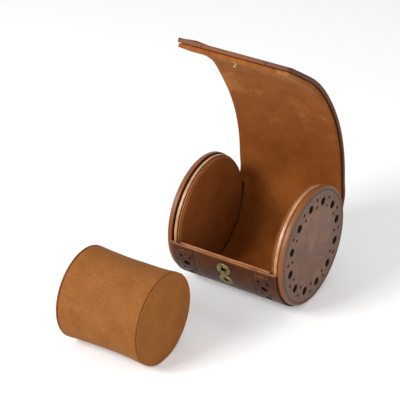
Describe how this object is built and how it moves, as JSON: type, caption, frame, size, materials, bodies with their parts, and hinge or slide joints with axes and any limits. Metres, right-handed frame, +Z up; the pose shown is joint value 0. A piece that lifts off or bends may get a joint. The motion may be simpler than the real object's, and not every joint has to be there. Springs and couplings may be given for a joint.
{
  "type": "watch travel case",
  "caption": "Cylindrical leather watch roll, open, with a curling flap lid, perforated leather trim and a soft suede watch cuff standing beside it.",
  "frame": {"origin": "on the table, at the flat under the middle of the roll's axis", "axes": "+X along the roll's axis, to the right seen from the front; -Y towards the front, where the sockets and the cuff are; +Z up"},
  "size_m": [0.1016, 0.1797, 0.1717],
  "materials": {
    "dark_leather": "waxed, semi-gloss",
    "tan_leather": "polished",
    "lining_suede": "matt nap",
    "cuff_suede": "matt nap",
    "cuff_end_suede": "matt nap",
    "black_felt": "matt",
    "fibreboard": "matt",
    "foam": "matt",
    "antique_brass": "aged, satin"
  },
  "bodies": {
    "case": {"cap_right_cover": "dark_leather", "cap_right_backing": "black_felt", "cap_right_core": "fibreboard", "cap_right_rim": "tan_leather", "cap_right_pad": "lining_suede", "cap_left_cover": "dark_leather", "cap_left_backing": "black_felt", "cap_left_core": "fibreboard", "cap_left_rim": "tan_leather", "cap_left_pad": "lining_suede", "case_leather": "dark_leather", "case_band_left": "dark_leather", "case_band_right": "dark_leather", "case_board": "fibreboard", "case_lining": "lining_suede", "back_lining": "lining_suede", "socket_lower": "antique_brass", "socket_upper": "antique_brass", "socket_cup_lower": "black_felt", "socket_cup_upper": "black_felt"},
    "lid_panel_1": {"lid_leather_1": "dark_leather", "lid_core_1": "black_felt", "lid_lining_1": "lining_suede"},
    "lid_panel_2": {"lid_leather_2": "dark_leather", "lid_core_2": "black_felt", "lid_lining_2": "lining_suede"},
    "lid_panel_3": {"lid_leather_3": "dark_leather", "lid_core_3": "black_felt", "lid_lining_3": "lining_suede"},
    "lid_panel_4": {"lid_leather_4": "dark_leather", "lid_core_4": "black_felt", "lid_lining_4": "lining_suede"},
    "lid_end": {"lid_leather_5": "dark_leather", "lid_core_5": "black_felt", "lid_lining_5": "lining_suede", "stud": "antique_brass", "stud_base": "antique_brass"},
    "cuff": {"cuff_sleeve": "cuff_suede", "cuff_foam": "foam", "cuff_board_left": "fibreboard", "cuff_board_right": "fibreboard", "cuff_cover_left": "cuff_end_suede", "cuff_cover_right": "cuff_end_suede"}
  },
  "joints": [
    {"name": "lid_bend_1", "type": "hinge", "parent": "case", "child": "lid_panel_1", "pos_m": [0, 0.0412, 0.0507], "axis": [1, 0, 0], "range_deg": [0, 34.4]},
    {"name": "lid_bend_2", "type": "hinge", "parent": "lid_panel_1", "child": "lid_panel_2", "pos_m": [0, 0.03939, 0.08026], "axis": [1, 0, 0], "range_deg": [0, 24.21]},
    {"name": "lid_bend_3", "type": "hinge", "parent": "lid_panel_2", "child": "lid_panel_3", "pos_m": [0, 0.03, 0.10834], "axis": [1, 0, 0], "range_deg": [0, 26.91]},
    {"name": "lid_bend_4", "type": "hinge", "parent": "lid_panel_3", "child": "lid_panel_4", "pos_m": [0, 0.01365, 0.13304], "axis": [1, 0, 0], "range_deg": [0, 22.21]},
    {"name": "lid_end_bend", "type": "hinge", "parent": "lid_panel_4", "child": "lid_end", "pos_m": [0, -0.00853, 0.15266], "axis": [1, 0, 0], "range_deg": [0, 34.8]},
    {"name": "cuff_lift", "type": "slide", "parent": "case", "child": "cuff", "axis": [0, 0, 1], "range_m": [0, 0.09]}
  ],
  "couplings": [
    {"joint": "lid_bend_2", "follows": "lid_bend_1", "ratio": 0.70349},
    {"joint": "lid_bend_3", "follows": "lid_bend_1", "ratio": 0.78198},
    {"joint": "lid_bend_4", "follows": "lid_bend_1", "ratio": 0.64535}
  ]
}
